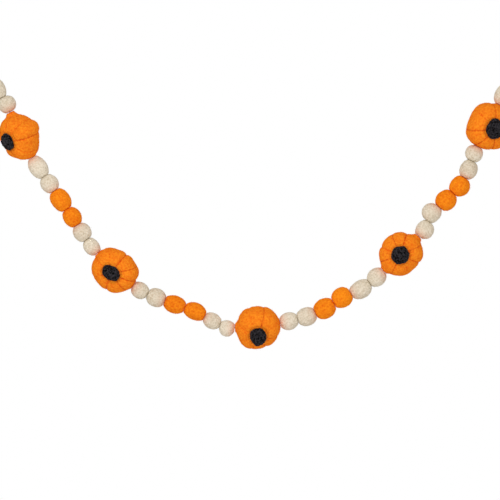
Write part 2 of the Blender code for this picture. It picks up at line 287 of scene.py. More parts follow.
@dataclass(frozen=True)
class WoolFelt:
    """Needle-felted wool: matt, mottled, and covered in matted fibres.

    Attributes:
        slot: the record's material slot.
        colour: sRGB of the wool that stands up.
        deep: sRGB at the dark end of its range, where its darker fibres and mottling lie, and the painted
            shade in pits and creases.
        stray_wool_and_bounce_light: sRGB of the orange tinge near orange neighbours: wool that rubs off
            them, and painted bounce light from them.
        sheen: how much light its fuzz catches at the rim.
        relief: how deep the fibres stand, in metres.
        patterns: how much of its range of lightness each of the wool's patterns takes up.
    """

    slot: str
    colour: tuple[int, int, int]
    deep: tuple[int, int, int]
    stray_wool_and_bounce_light: tuple[int, int, int] = (226, 112, 40)
    sheen: float = 0.05
    relief: float = 0.15 * MM
    patterns: tuple[tuple[str, float], ...] = (("Fibres", 0.45), ("Mottle", 0.4))

    def material(self) -> bpy.types.Material:
        """The finish as a material, made once.

        Returns:
            The material.
        """
        name = f"{self.slot}_fibres"  # the solids' plain finishes have the slots' own names
        if name in bpy.data.materials:
            return bpy.data.materials[name]
        made, sheet, shader = new_material(name)
        place = sheet.add("TexCoord").outputs["Object"]
        wool = sheet.add("Group", {"Vector": place}, node_tree=wool_fibres())
        stored = (FeltSurface.TONE, FeltSurface.PIT_AND_CREASE_SHADE, FeltSurface.RUB_AND_BOUNCE)
        tone, nub, tinge_from_rub_and_bounce = (sheet.add("Attribute", attribute_name=n).outputs["Fac"] for n in stored)
        # the nub attribute is painted shade, dark in pits and creases, added to the wool's own lightness
        lightness = sheet.sum("ADD", tone, nub)
        for pattern, share in self.patterns:
            above = sheet.sum("SUBTRACT", wool.outputs[pattern], MIDDLE)
            lightness = sheet.sum("ADD", lightness, sheet.sum("MULTIPLY", share, above))
        limits = sheet.add("Clamp", {"Value": lightness})
        colour = sheet.blend(limits.outputs[0], linear(self.deep), linear(self.colour))
        # orange tinge near orange neighbours: wool rubbing off them, and painted orange bounce light from
        # them
        tinge_share = sheet.sum("MULTIPLY", tinge_from_rub_and_bounce, wool.outputs["Fibres"])
        colour = sheet.blend(tinge_share, colour, linear(self.stray_wool_and_bounce_light))
        rough = sheet.add("MapRange", {"Value": wool.outputs["Fibres"], "To Min": 0.98, "To Max": 0.85})
        stands = {"Height": wool.outputs["Fibres"], "Strength": 0.7, "Distance": self.relief}
        bump = sheet.add("Bump", stands)
        sheet.feed(shader.inputs["Base Color"], colour)
        sheet.feed(shader.inputs["Roughness"], rough.outputs["Result"])
        sheet.feed(shader.inputs["Normal"], bump.outputs["Normal"])
        shader.inputs["Specular IOR Level"].default_value = 0.01
        shader.inputs["Sheen Weight"].default_value = self.sheen
        shader.inputs["Sheen Roughness"].default_value = 0.6
        shader.inputs["Sheen Tint"].default_value = linear(self.colour)
        return made


@dataclass(frozen=True)
class SpunYarn:
    """Twisted yarn or twine: fine fibres, a little fuzzy.

    Attributes:
        name: the material's name.
        colour: sRGB of the yarn's raised fibres.
        deep: sRGB between them.
        fibre_width: metres.
    """

    name: str
    colour: tuple[int, int, int]
    deep: tuple[int, int, int]
    fibre_width: float = 0.1 * MM

    WIDTHS_PER_CURL = 8

    def material(self) -> bpy.types.Material:
        """The finish as a material, made once.

        Returns:
            The material.
        """
        if self.name in bpy.data.materials:
            return bpy.data.materials[self.name]
        made, sheet, shader = new_material(self.name)
        wool = sheet.add("Group", node_tree=wool_fibres())
        sheet.feed(wool.inputs["Vector"], sheet.add("TexCoord").outputs["Object"])
        sheet.feed(wool.inputs["Fibre Width"], self.fibre_width)
        sheet.feed(wool.inputs["Curl Size"], self.WIDTHS_PER_CURL * self.fibre_width)
        colour = sheet.blend(wool.outputs["Fibres"], linear(self.deep), linear(self.colour))
        stands = {"Height": wool.outputs["Fibres"], "Strength": 0.5, "Distance": self.fibre_width / 2}
        bump = sheet.add("Bump", stands)
        sheet.feed(shader.inputs["Base Color"], colour)
        sheet.feed(shader.inputs["Normal"], bump.outputs["Normal"])
        shader.inputs["Roughness"].default_value = 0.85
        shader.inputs["Specular IOR Level"].default_value = 0.2
        return made


# ---------------------------------------------------------------------------------------------------
# Meshes
# ---------------------------------------------------------------------------------------------------


WELD = 0.001 * MM  # points nearer than this are one
ORDER_STEP = 1e6  # more than the numbers of a face's corners add up to


def settle(mesh: bmesh.types.BMesh) -> None:
    """Put a spun bmesh's edges and faces in the same order each run, by the numbers of their corners.

    A spin lists them in another order each time, and so the bores' cuts and the places of the loose
    fibres would change a little from run to run.

    Args:
        mesh: the bmesh to put in order.
    """

    def rank(part: bmesh.types.BMEdge | bmesh.types.BMFace) -> float:
        """A number that no other edge, or no other face, of the bmesh has."""
        corners = [vert.index for vert in part.verts]
        return ORDER_STEP * min(corners) + sum(corners)

    mesh.verts.index_update()
    mesh.edges.sort(key=rank)
    mesh.faces.sort(key=rank)


def turned(
    outline: Sequence[tuple[float, float]], axis: str, sides: int, closed: bool = False
) -> bmesh.types.BMesh:
    """Spin an outline about X or Z.

    Args:
        outline: (along the axis, radius) points.
        axis: "X" or "Z".
        sides: steps of the spin.
        closed: join the outline's ends, for a ring.

    Returns:
        The turned bmesh, closed and facing out.
    """
    mesh = bmesh.new()
    places = [(a, 0, r) if axis == "X" else (r, 0, a) for a, r in outline]
    verts = [mesh.verts.new(place) for place in places]
    edges = [mesh.edges.new(pair) for pair in zip(verts, verts[1:])]
    if closed:
        edges.append(mesh.edges.new((verts[-1], verts[0])))
    turn_axis = (1, 0, 0) if axis == "X" else (0, 0, 1)
    bmesh.ops.spin(
        mesh, geom=verts + edges, cent=(0, 0, 0), axis=turn_axis, angle=tau, steps=sides, use_merge=True
    )
    bmesh.ops.remove_doubles(mesh, verts=mesh.verts, dist=WELD)
    bmesh.ops.recalc_face_normals(mesh, faces=mesh.faces)
    settle(mesh)
    return mesh


def places_of(data: bpy.types.Mesh) -> np.ndarray:
    """A mesh's points, a row for each.

    Args:
        data: the mesh.

    Returns:
        An array with the X, Y and Z of a point in each row.
    """
    places = np.zeros(len(data.vertices) * 3)
    data.vertices.foreach_get("co", places)
    return places.reshape(-1, 3)


def set_out(name: str, data: bpy.types.ID) -> bpy.types.Object:
    """Link a new object at the origin.

    Args:
        name: the object's name.
        data: its mesh, curve, light or camera.

    Returns:
        The linked object.
    """
    made = bpy.data.objects.new(name, data)
    bpy.context.scene.collection.objects.link(made)
    return made


def finished(name: str, data: bpy.types.Mesh, finish: bpy.types.Material) -> bpy.types.Object:
    """Turn a mesh into a smooth-shaded object with one finish.

    Args:
        name: the piece's name.
        data: its mesh, in the row frame.
        finish: the piece's material.

    Returns:
        The linked object.
    """
    data.shade_smooth()
    data.materials.clear()
    data.materials.append(finish)
    return set_out(name, data)


def make_object(name: str, mesh: bmesh.types.BMesh, finish: bpy.types.Material) -> bpy.types.Object:
    """Turn a bmesh into a smooth-shaded object with one finish.

    Args:
        name: the piece's name.
        mesh: the bmesh, in the row frame; it is freed.
        finish: the piece's material.

    Returns:
        The linked object.
    """
    data = bpy.data.meshes.new(name)
    mesh.to_mesh(data)
    mesh.free()
    return finished(name, data, finish)


def dress(piece: bpy.types.Object, slot: str, *nodes: str) -> bpy.types.Object:
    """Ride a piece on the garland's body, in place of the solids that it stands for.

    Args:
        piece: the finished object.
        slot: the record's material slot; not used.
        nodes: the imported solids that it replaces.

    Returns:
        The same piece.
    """
    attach(piece, BODY)
    if nodes:
        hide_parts(*nodes)
    faces = len(piece.data.polygons)
    log_book.info("%s: %d faces, for %s", piece.name, faces, ", ".join(nodes) or "no solid")
    return piece


@dataclass(frozen=True)
class FeltSurface:
    """The unevenness of felted wool, from soft lumps down to its grain, and the shade painted into its pits
    and creases.

    Attributes:
        lump_depth: of the lumps that the solid has too, as a share of a point's distance from the middle.
        nub_size: from one matted nub of wool to the next.
        nub_height: how far the nubs stand.
        grain_size: from one tuft to the next.
        grain_height: how far the tufts stand.
        pit_shade: how much of the finish's range of lightness the painted shade spans between pit and nub.
        crease_shade: how much of it the painted shade in a full crease takes away.
        tuft_share: how much of the pits' shade comes from the grain.
    """

    lump_depth: float = 0.035
    nub_size: float = 1.9 * MM
    nub_height: float = 0.26 * MM
    grain_size: float = 0.9 * MM
    grain_height: float = 0.1 * MM
    pit_shade: float = 0.9
    crease_shade: float = 0.75
    tuft_share: float = 0.3

    TONE = "wool_tone"
    # the orange tinge where a cream ball meets orange felt: wool rubbing off it, and painted bounce light
    # from it
    RUB_AND_BOUNCE = "wool_rub_and_bounce_light"
    # painted shade for each point: darker in the pits between nubs and in creases
    PIT_AND_CREASE_SHADE = "wool_pit_and_crease_shade"
    LUMP_STEP = 7.3  # in the lumps' pattern, from one ball or pumpkin to the next, as on the solids

    def lump(self, place: Vector, size: float, seed: float) -> float:
        """The share by which a point moves out, from the solids' own lumps of a size."""
        return self.lump_depth * noise.noise(place / size + Vector((seed, 0, 0)))

    def roughen(self, mesh: bmesh.types.BMesh, seed: float, fade: Callable[[Vector], float]) -> None:
        """Raise nubs and grain along the normals, and store painted shade: darker in the pits, lighter on
        the nubs.

        Args:
            mesh: the bmesh to work on, in the piece's own frame.
            seed: tells one piece's pattern from another's.
            fade: 0 to 1, how much of the relief a point takes.
        """
        shade = mesh.verts.layers.float.new(self.PIT_AND_CREASE_SHADE)
        mesh.normal_update()
        shift = Vector((0, seed, 0))
        for vert in mesh.verts:
            nub = noise.noise(vert.co / self.nub_size + shift)
            tuft = noise.noise(vert.co / self.grain_size - shift)
            # painted shade that follows the relief: darker in pits, lighter on nubs
            vert[shade] = self.pit_shade * ((1 - self.tuft_share) * nub + self.tuft_share * tuft)
            rise = self.nub_height * nub + self.grain_height * tuft
            vert.co += vert.normal * rise * fade(vert.co)

    def paint_crease_shade(self, mesh: bmesh.types.BMesh, shares: Iterable[float]) -> None:
        """Paint shade into a roughened mesh's creases.

        Args:
            mesh: the bmesh, in the piece's own frame.
            shares: for each point, 0 on open felt and 1 deep in a crease.
        """
        shade = mesh.verts.layers.float[self.PIT_AND_CREASE_SHADE]
        for vert, share in zip(mesh.verts, shares):
            vert[shade] -= self.crease_shade * share

    @classmethod
    def mark(cls, piece: bpy.types.Object, name: str, value: Callable[[Vector], float]) -> None:
        """Store a number for every point of a piece.

        Args:
            piece: the finished object.
            name: TONE or RUB_AND_BOUNCE.
            value: gives the number from the point's place.
        """
        layer = piece.data.attributes.new(name, "FLOAT", "POINT")
        layer.data.foreach_set("value", [value(vert.co) for vert in piece.data.vertices])


# ---------------------------------------------------------------------------------------------------
# Places on the string
# ---------------------------------------------------------------------------------------------------


class Kind(Enum):
    """What is strung, by the start of its node's name."""

    CREAM = "cream_ball"
    ORANGE = "orange_ball"
    PUMPKIN = "pumpkin"


@dataclass
class Contact:
    """Where two neighbours on the string press on each other, or a knot on the last of them.

    Attributes:
        place: the middle of the contact.
        facing: square to it, along the string from left to right.
    """

    place: Vector
    facing: Vector


@dataclass
class Strung:
    """A felt piece's place on the string, measured on the solid that it stands for.

    Attributes:
        node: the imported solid's name.
        kind: ball or pumpkin.
        number: its number among its kind.
        entry: where the string goes in, on its left.
        leave: where the string comes out.
        middle: the middle of the felt, beside the string where it bends.
        contacts: with the neighbour at its entry and with the one where the string leaves.
    """

    node: str
    kind: Kind
    number: int
    entry: Vector
    leave: Vector
    middle: Vector
    contacts: tuple[Contact, Contact] | None = None

    CLEARANCE = 0.03 * MM
    PRESS_ROUNDING = 0.3 * MM
    # over which the painted shade beside a neighbour fades
    CREASE_REACH = 0.6 * MM

    @property
    def heading(self) -> float:
        """The heading of the string through the piece."""
        return heading_of(self.leave - self.entry)

    @property
    def length(self) -> float:
        """How much of the string the piece takes up."""
        return (self.leave - self.entry).length

    @property
    def to_world(self) -> Matrix:
        """From the piece's own frame, with X along the string, to the row frame."""
        return Matrix.Translation(self.middle) @ Matrix.Rotation(-self.heading, 4, "Y")

    @property
    def bore_offset(self) -> float:
        """How far above the felt's middle the string passes, in the piece's own frame."""
        return (self.to_world.inverted() @ ((self.entry + self.leave) / 2)).z

    @property
    def along(self) -> Vector:
        """Unit vector along the string through the piece."""
        return (self.leave - self.entry).normalized()

    def press(self, mesh: bmesh.types.BMesh) -> list[float]:
        """Flatten the felt where it meets its neighbours.

        Args:
            mesh: the felt's bmesh, in the piece's own frame.

        Returns:
            For each point, how deep it lies in the crease beside a neighbour, from 0 to 1, for the painted
            shade there.
        """
        inside = self.to_world.inverted()
        creased = [0.0] * len(mesh.verts)
        for contact, way in zip(self.contacts, (-1, 1)):
            place = inside @ contact.place
            facing = inside.to_3x3() @ contact.facing * way
            for i, vert in enumerate(mesh.verts):
                past = (vert.co - place).dot(facing) + self.CLEARANCE
                held = -soft_max(0, -past, self.PRESS_ROUNDING)
                vert.co.x += (held - past) / facing.x
                # painted shade: darkest where the felt meets its neighbour
                creased[i] = max(creased[i], exp(held / self.CREASE_REACH))
        return creased


@dataclass
class Stringing:
    """Reads where every felt piece is strung.

    Attributes:
        rim_depth: how near a solid's end a point lies that belongs to the rim of its hole.
        pieces: those measured so far, from the left loop on.
    """

    rim_depth: float = 0.15 * MM
    pieces: list[Strung] = field(default_factory=list)

    @staticmethod
    def points(node: str) -> np.ndarray:
        """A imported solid's own points, each of them once."""
        places = places_of(frame["nodes"][node].data).astype(np.float32)
        return np.unique(places.round(6), axis=0).astype(float)

    @classmethod
    def middle_of_end(cls, points: np.ndarray, towards: Vector, depth: float) -> Vector:
        """The middle of those points that reach furthest in a direction.

        Args:
            points: an array with a point in each row.
            towards: the direction.
            depth: how far behind the furthest point one may lie.

        Returns:
            The middle.
        """
        reach = points @ np.array(towards)
        return Vector(points[reach > reach.max() - depth].mean(axis=0))

    def read(self) -> list[Strung]:
        """Measure the pieces from the left loop to the right one.

        Returns:
            The pieces in the order of the string.
        """
        names = [n for n in frame["nodes"] if any(n.startswith(k.value) for k in Kind)]
        centres = {n: sum(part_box(n), Vector()) / 2 for n in names}
        names.sort(key=lambda n: centres[n].x)
        for i, node in enumerate(names):
            run = centres[names[min(i + 1, len(names) - 1)]] - centres[names[max(i - 1, 0)]]
            self.pieces.append(self.measure(node, Vector((run.x, 0, run.z)).normalized()))
        first, last = self.pieces[0], self.pieces[-1]
        meetings = [Contact(first.entry, first.along)]
        for one, other in zip(self.pieces, self.pieces[1:]):
            meetings.append(Contact((one.leave + other.entry) / 2, (one.along + other.along).normalized()))
        meetings.append(Contact(last.leave, last.along))
        for piece, *ends in zip(self.pieces, meetings, meetings[1:]):
            piece.contacts = tuple(ends)
        return self.pieces

    def measure(self, node: str, along: Vector) -> Strung:
        """Measure one solid.

        Args:
            node: its name.
            along: roughly how the string runs through it.

        Returns:
            Its place on the string.
        """
        points = self.points(node)
        kind = next(k for k in Kind if node.startswith(k.value))
        number = int(node.rsplit("_", 1)[1])
        leave = self.middle_of_end(points, along, self.rim_depth)
        entry = self.middle_of_end(points, -along, self.rim_depth)
        up = Vector((entry.z - leave.z, 0, leave.x - entry.x)).normalized()
        heights = points @ np.array(up)
        centre = (entry + leave) / 2
        centre += up * ((heights.max() + heights.min()) / 2 - centre.dot(up))
        return Strung(node, kind, number, entry, leave, centre)


# ---------------------------------------------------------------------------------------------------
# Felt pieces
# ---------------------------------------------------------------------------------------------------


@dataclass
class FeltBall:
    """A needle-felted ball with the string's hole through it, pressed flat against its neighbours.

    Attributes:
        place: where it is strung.
        felt: its finish.
        width: across the string.
        surface: its unevenness.
        pressed_share: radius of its flattened ends, as a share of its own.
        lump_size: from one soft lump to the next.
        bore_radius: of the string's hole.
        sides: steps around the string.
        steps: steps from hole to hole.
    """

    place: Strung
    felt: WoolFelt
    width: float
    surface: FeltSurface = FeltSurface()
    pressed_share: float = 0.52
    lump_size: float = 11 * MM
    bore_radius: float = 1.25 * MM
    sides: int = 96
    steps: int = 56

    ORANGE_LUMPS = 50  # from a cream ball's lumps to those of the orange ball with its number
    RELIEF_RISE = 3  # how much sooner than the felt itself its nubs rise from the hole

    @property
    def seed(self) -> float:
        """Tells this ball's lumps from the others', as on its solid."""
        return self.place.number + (self.ORANGE_LUMPS if self.place.kind is Kind.ORANGE else 0)

    def outline(self) -> list[tuple[float, float]]:
        """(along, radius) points of the felt from hole to hole, before its ends are pressed.

        Returns:
            The points.
        """
        radius = self.width / 2
        half = self.place.length / 2 / cos(asin(self.pressed_share))
        start = asin(self.bore_radius / radius)
        turns = [start + (pi - 2 * start) * i / self.steps for i in range(self.steps + 1)]
        return [(half * cos(turn), radius * sin(turn)) for turn in turns]

    def off_string(self, place: Vector) -> float:
        """0 at the hole's rim and 1 at the ball's waist."""
        return smooth_step((place.yz.length - self.bore_radius) / (self.width / 2 - self.bore_radius))

    def build(self) -> bpy.types.Object:
        """Model the ball.

        Returns:
            The finished piece, in the row frame.
        """
        mesh = turned(self.outline(), "X", self.sides, closed=True)
        for vert in mesh.verts:
            out = self.off_string(vert.co)
            seed = self.seed * self.surface.LUMP_STEP
            vert.co *= 1 + out * self.surface.lump(vert.co, self.lump_size, seed)
        rise = self.RELIEF_RISE
        self.surface.roughen(mesh, self.seed, lambda place: smooth_step(rise * self.off_string(place)))
        for vert in mesh.verts:
            vert.co.z += self.place.bore_offset * (1 - self.off_string(vert.co))
        # painted shade in the creases where the ball meets its neighbours
        self.surface.paint_crease_shade(mesh, self.place.press(mesh))
        mesh.transform(self.place.to_world)
        piece = make_object(f"{self.place.node}_felt", mesh, self.felt.material())
        return dress(piece, self.felt.slot, self.place.node)


@dataclass(frozen=True)
class Seat:
    """How a pumpkin sits on the string, and how it is sewn.

    Attributes:
        roll_deg: how far its stem is turned downwards about the string.
        yaw_deg: how far its stem is turned towards the string's right end.
        stitches_deg: the angles of its sewn grooves about the stem, one between each rib and the next.
        drawn_in_mm: how deep the thread draws each groove in.
        fullness_mm: how far each rib stands out, or lies flatter where it is negative.
        pulls: how sharply each stitch creases the felt, and how dark the painted shade in its crease is,
            from 0 to 1.
    """

    roll_deg: float
    yaw_deg: float
    stitches_deg: tuple[float, ...]
    drawn_in_mm: tuple[float, ...]
    fullness_mm: tuple[float, ...]
    pulls: tuple[float, ...]

    @property
    def facing(self) -> Matrix:
        """From the pumpkin's upright frame, stem up, to its frame on the string."""
        roll = Matrix.Rotation(radians(90 + self.roll_deg), 4, "X")
        return Matrix.Rotation(radians(self.yaw_deg), 4, "Z") @ roll


SEATS = (
    Seat(
        44,
        3,
        (30, 75, 120, 165, 210, 255, 300, 345),
        (0.5, 1, 1.5, 0.5, 0.5, 0.5, 1.5, 0.5),
        (0, 3.5, 0, 0, -1, -4, 0, 3.5),
        (0.35, 0.9, 0.3, 0.35, 0.5, 0.5, 0.5, 0.4),
    ),
    Seat(
        17,
        -2,
        (15, 50, 95, 140, 185, 240, 290, 345),
        (1.5, 0, 2, 0, 1, 0, 1.5, 0),
        (3, -1.5, -2, 1.5, 2.5, 0.5, 1.5, 3),
        (0.85, 0.5, 0.6, 0.35, 0.45, 0.45, 0.75, 0.65),
    ),
    Seat(
        30,
        -2,
        (20, 65, 110, 155, 200, 245, 290, 335),
        (0, 1, 1, 1, 0.5, 0.5, 1.5, 1),
        (1.5, 0, 1, 1.5, 2.5, 0.5, 1, 2.5),
        (0.3, 0.5, 0.25, 0.35, 0.3, 0.4, 0.4, 0.3),
    ),
    Seat(
        -1,
        -6,
        (30, 70, 115, 155, 200, 250, 290, 340),
        (1.5, 0.5, 1.5, 0, 0, 0, 1.5, 0),
        (0.5, 0, 1, 2, 0, -2.5, 0, 1),
        (0.65, 0.5, 0.35, 0.6, 0.6, 0.45, 0.65, 0.5),
    ),
    Seat(
        19,
        -2,
        (20, 70, 125, 165, 210, 260, 300, 340),
        (0.5, 0, 0, 0, 1, 0.5, 0.5, 0.5),
        (2.5, -0.5, 3.5, 2.5, 3, 1, 1, 1.5),
        (0.5, 0.35, 0.7, 0.95, 0.5, 0.5, 0.6, 0.6),
    ),
)


@dataclass
class FeltPumpkin:
    """A flattened felt ball sewn into ribs, and drawn out to a blunt point where the string pulls.

    Attributes:
        place: where it is strung; its middle is put right from its stem.
        seat: how it sits there.
        felt: its finish.
        thread: the sewing thread's finish.
        surface: its unevenness.
        radius: of its waist before the string's pull flattens it.
        half_height: from its middle to its crown.
        squareness: of its outline.
        groove_sharpness: how narrow the valleys between ribs are.
        crease_depth: how much deeper the thread pulls the felt in where it is drawn hardest.
        crease_width: of that crease.
        dimple_depth: of the hollows in its crown and base.
        dimple_radius: of those hollows.
        seat_height: of the flat under the stem.
        seat_radius: of that flat.
        seat_fade: over which the felt rises beside it.
        gap: left between the flat and the stem on the solids.
        drawn_out: least that the blunt points stand out.
        drawn_tip: radius of a blunt point's end.
        drawn_base: radius at which it has run into the body.
        drawn_base_at: where that is, as a share of the pumpkin's radius.
        drawn_softness: how softly it runs out.
        bore_radius: of the string's hole.
        thread_radius: of the sewing thread.
        thread_pull: the least pull that leaves the thread to be seen.
        thread_end: how near the base's middle the threads end, as a share of the radius.
        sides_per_rib: steps around each rib.
        crowding: how much closer the steps are beside a groove.
        steps: from crown to base.
    """

    place: Strung
    seat: Seat
    felt: WoolFelt
    thread: SpunYarn
    surface: FeltSurface = FeltSurface()
    radius: float = 24.3 * MM
    half_height: float = 20 * MM
    squareness: float = 2.3
    groove_sharpness: float = 1.5
    crease_depth: float = 0.5 * MM
    crease_width: float = 0.8 * MM
    dimple_depth: float = 3 * MM
    dimple_radius: float = 9 * MM
    seat_height: float = 17.3 * MM
    seat_radius: float = 11 * MM
    seat_fade: float = 1.5 * MM
    gap: float = 0.3 * MM
    drawn_out: float = 2.2 * MM
    drawn_tip: float = 4.6 * MM
    drawn_base: float = 11.5 * MM
    drawn_base_at: float = 0.6
    drawn_softness: float = 0.9 * MM
    bore_radius: float = 1.25 * MM
    thread_radius: float = 0.3 * MM
    thread_pull: float = 0.5
    thread_end: float = 0.06
    sides_per_rib: int = 28
    crowding: float = 0.45
    steps: int = 90

    BORE_SIDES = 24
    BORE_OVERRUN = 1.5  # length of the bore's cutter, as a share of the pumpkin's own
    BASE_DEPTH = 0.1 * MM  # how near the stem solid's end a point lies that belongs to its flat base

    def __post_init__(self) -> None:
        """Find the middle from the stem's flat base, which is at a known height above it."""
        stem_up = (self.place.to_world.to_3x3() @ self.seat.facing.to_3x3()) @ UP
        points = Stringing.points(f"stem_{self.place.number}")
        base = Stringing.middle_of_end(points, -stem_up, self.BASE_DEPTH)
        self.place.middle = base - stem_up * (self.seat_height + self.gap)

    @property
    def ribs(self) -> int:
        """How many ribs there are."""
        return len(self.seat.stitches_deg)

    @property
    def squeeze(self) -> float:
        """The share by which the string's pull flattens the body."""
        return min((self.place.length / 2 - self.drawn_out) / self.radius, 1)

    def height(self, turn: float) -> float:
        """Height of the outline at a turn from crown to base.

        Args:
            turn: 0 at the crown and pi at the base.

        Returns:
            The height above the pumpkin's middle.
        """
        out = self.reach(turn)
        dimple = self.dimple_depth * exp(-((out / self.dimple_radius) ** 2))
        height = self.half_height * signed_power(cos(turn), 2 / self.squareness)
        height -= signed_power(height, 0) * dimple
        if height < 0:
            return height
        rise = smooth_step((out - self.seat_radius) / self.seat_fade)
        return self.seat_height + (height - self.seat_height) * rise

    def reach(self, turn: float) -> float:
        """Radius of the outline at a turn from crown to base."""
        return self.radius * max(sin(turn), 0) ** (2 / self.squareness)

    def gathered(self, turn: float) -> float:
        """Where an even turn about the stem ends up once each rib is gathered between its stitches.

        Args:
            turn: about the stem, on the plain turned body.

        Returns:
            The turn on the sewn body.
        """
        stitches = self.seat.stitches_deg
        rib, share = divmod(turn / tau * self.ribs % self.ribs, 1)
        low = stitches[int(rib)]
        width = (stitches[(int(rib) + 1) % self.ribs] - low) % 360
        return radians(low + share * width)

    def fullness(self, turn: float) -> float:
        """How far the felt stands out at an even turn, eased from each rib's middle to the next one's.

        Args:
            turn: about the stem, on the plain turned body.

        Returns:
            The distance at the waist.
        """
        ribs = self.seat.fullness_mm
        rib, share = divmod((turn / tau * self.ribs - 0.5) % self.ribs, 1)
        low, high = ribs[int(rib)], ribs[(int(rib) + 1) % self.ribs]
        return (low + (high - low) * smooth_step(share)) * MM

    def groove(self, turn: float) -> float:
        """How deep the nearest stitch draws the felt in at an even turn.

        Args:
            turn: about the stem, on the plain turned body.

        Returns:
            The depth at the waist.
        """
        at = turn / tau * self.ribs
        beside = 1 - abs(sin(pi * at))
        return self.seat.drawn_in_mm[round(at) % self.ribs] * MM * beside**self.groove_sharpness

    def drawn(self, place: Vector) -> float:
        """How far along the string the blunt points reach, or nowhere near, beside a point.

        Args:
            place: a point in the pumpkin's frame on the string.

        Returns:
            Their distance from its middle, or well behind it where they don't reach.
        """
        from_string = hypot(place.y, place.z - self.place.bore_offset)
        if from_string > self.drawn_base:
            return -self.radius
        down = max(from_string - self.drawn_tip, 0) / (self.drawn_base - self.drawn_tip)
        tip, base = self.place.length / 2, self.drawn_base_at * self.radius
        return tip + (base - tip) * down

    def creased(self, point: Vector) -> float:
        """How deep a point of the plain turned body lies in a stitch's crease, from 0 to 1.

        Args:
            point: on the turned body, stem up, at an even turn.

        Returns:
            0 on open felt and the stitch's pull at its thread.
        """
        at = atan2(point.y, point.x) / tau * self.ribs
        beside = abs(at - round(at)) * tau / self.ribs * point.xy.length
        return self.seat.pulls[round(at) % self.ribs] * exp(-((beside / self.crease_width) ** 2))

    def shaped(self, point: Vector) -> Vector:
        """Where a point of the plain turned body goes once it is sewn, rolled and strung.

        Args:
            point: on the turned body, stem up, at an even turn.

        Returns:
            The point in the pumpkin's frame on the string.
        """
        turn, out = atan2(point.y, point.x), point.xy.length
        crease = self.crease_depth * self.creased(point)
        fade = smooth_step((out - self.seat_radius) / self.seat_fade) if point.z > 0 else 1
        lump = self.surface.lump(point, self.radius, self.place.number * self.surface.LUMP_STEP)
        full = self.fullness(turn) / self.radius * smooth_step(out / self.radius)
        sewn = self.groove(turn) / self.radius + crease / point.length
        place = point * (1 - fade * (sewn - lump - full))
        place.rotate(Matrix.Rotation(self.gathered(turn) - turn, 3, "Z"))
        place = self.seat.facing @ place
        place.x *= self.squeeze
        place.x = signed_power(place.x, 0) * soft_max(abs(place.x), self.drawn(place), self.drawn_softness)
        return place

    def body(self) -> bpy.types.Object:
        """Model the sewn body.

        Returns:
            The finished piece, in the row frame.
        """
        turns = [pi * i / self.steps for i in range(self.steps + 1)]
        outline = [(self.height(t), self.reach(t)) for t in turns]
        outline[-1] = (outline[-1][0], 0)
        mesh = turned(outline, "Z", self.ribs * self.sides_per_rib)
        creases = []
        for vert in mesh.verts:
            share = atan2(vert.co.y, vert.co.x) / tau * self.ribs
            closer = self.crowding * sin(tau * share) / tau
            vert.co.rotate(Matrix.Rotation(-closer * tau / self.ribs, 3, "Z"))
            creases.append(self.creased(vert.co))
            vert.co = self.shaped(vert.co)
        self.surface.roughen(mesh, self.place.number, lambda place: 1)
        # painted shade in the stitches' creases and where the pumpkin meets its neighbours
        self.surface.paint_crease_shade(mesh, creases)
        self.surface.paint_crease_shade(mesh, self.place.press(mesh))
        bore = bmesh.new()
        across = Matrix.Translation((0, 0, self.place.bore_offset)) @ Matrix.Rotation(pi / 2, 4, "Y")
        bmesh.ops.create_cone(
            bore, cap_ends=True, segments=self.BORE_SIDES, radius1=self.bore_radius,
            radius2=self.bore_radius, depth=self.BORE_OVERRUN * self.place.length, matrix=across,
        )
        for part in (mesh, bore):
            part.transform(self.place.to_world)
        piece = make_object(f"{self.place.node}_felt", mesh, self.felt.material())
        pierce(piece, bore)
        return dress(piece, self.felt.slot, self.place.node)

    def stitches(self) -> bpy.types.Object:
        """Model the thread that lies in the hardest drawn grooves, from the crown to the base.

        Returns:
            The finished piece, in the row frame.
        """
        yarn = Twine(self.thread, self.thread_radius, plies=2, lay=2 * MM, roundness=0)
        first = asin((self.seat_radius / self.radius) ** (self.squareness / 2))
        last = pi - asin(self.thread_end ** (self.squareness / 2))
        paths = []
        for rib in range(self.ribs):
            if self.seat.pulls[rib] < self.thread_pull:
                continue
            around = tau * rib / self.ribs
            route = []
            for i in range(self.steps + 1):
                turn = first + (last - first) * i / self.steps
                out = self.reach(turn)
                point = Vector((out * cos(around), out * sin(around), self.height(turn)))
                route.append(self.place.to_world @ self.shaped(point))
            paths.append(route)
        piece = yarn.along(f"{self.place.node}_stitches", paths)
        return dress(piece, self.felt.slot)


@dataclass(frozen=True)
class StemShape:
    """One pumpkin's stem.

    Attributes:
        along_mm: its radius along the string, before it is turned.
        across_mm: its radius across the string.
        height_mm: of its tip over its foot.
        turn_deg: how far it is turned about its own height.
        lean_mm: how far its tip bends along the string.
    """

    along_mm: float
    across_mm: float
    height_mm: float
    turn_deg: float
    lean_mm: float


STEMS = (
    StemShape(10, 8, 8, 0, 0),
    StemShape(11, 8, 11, 15, 0),
    StemShape(9.5, 10, 15.5, 0, 0),
    StemShape(10, 10, 11, 0, -1.5),
    StemShape(11.5, 10, 12, 20, 0),
)


